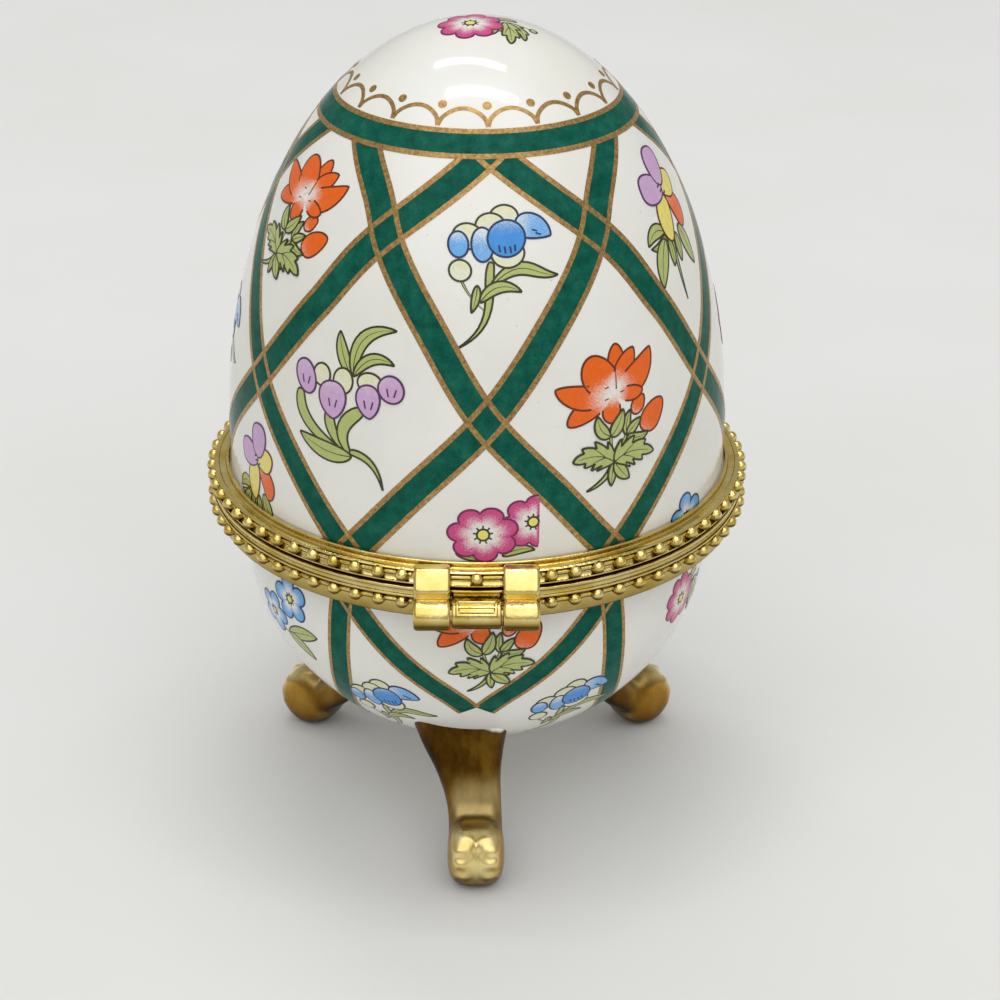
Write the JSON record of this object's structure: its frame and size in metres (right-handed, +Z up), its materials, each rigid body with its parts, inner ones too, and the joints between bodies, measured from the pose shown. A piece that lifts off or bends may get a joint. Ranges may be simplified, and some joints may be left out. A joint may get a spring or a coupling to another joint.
{
  "type": "hinged porcelain egg box",
  "caption": "Egg-shaped porcelain trinket box with a hinged lid, beaded gilt rims and gilded scroll feet, painted with a flower and ribbon trellis.",
  "frame": {"origin": "on the egg's axis, at the floor that its feet stand on", "axes": "+Z up along the egg's axis, -Y towards the hinge, +X to the right of the hinge as it faces the viewer"},
  "size_m": [0.0658, 0.0722, 0.0995],
  "materials": {
    "porcelain": "glossy white glaze, painted with a ribbon trellis and flower sprigs",
    "gilt_porcelain": "glossy glaze gilded with dark antique gold lustre",
    "gilt_metal": "cast metal, polished and gilt plated",
    "gilt_beading": "polished gilt beads on wire",
    "pin_steel": "plain steel",
    "cement": "set adhesive cement"
  },
  "bodies": {
    "base": {"base_bowl": "porcelain", "bowl_cement": "cement", "lower_rim": "gilt_metal", "lower_rim_beading": "gilt_beading", "front_foot": "gilt_porcelain", "rear_right_foot": "gilt_porcelain", "rear_left_foot": "gilt_porcelain"},
    "lid": {"lid_shell": "porcelain", "lid_cement": "cement", "upper_rim": "gilt_metal", "upper_rim_beading": "gilt_beading", "hinge_pin": "pin_steel"}
  },
  "joints": [
    {"name": "lid_hinge", "type": "hinge", "parent": "base", "child": "lid", "pos_m": [0, -0.03435, 0.04185], "axis": [1, 0, 0], "range_deg": [0, 95]}
  ]
}
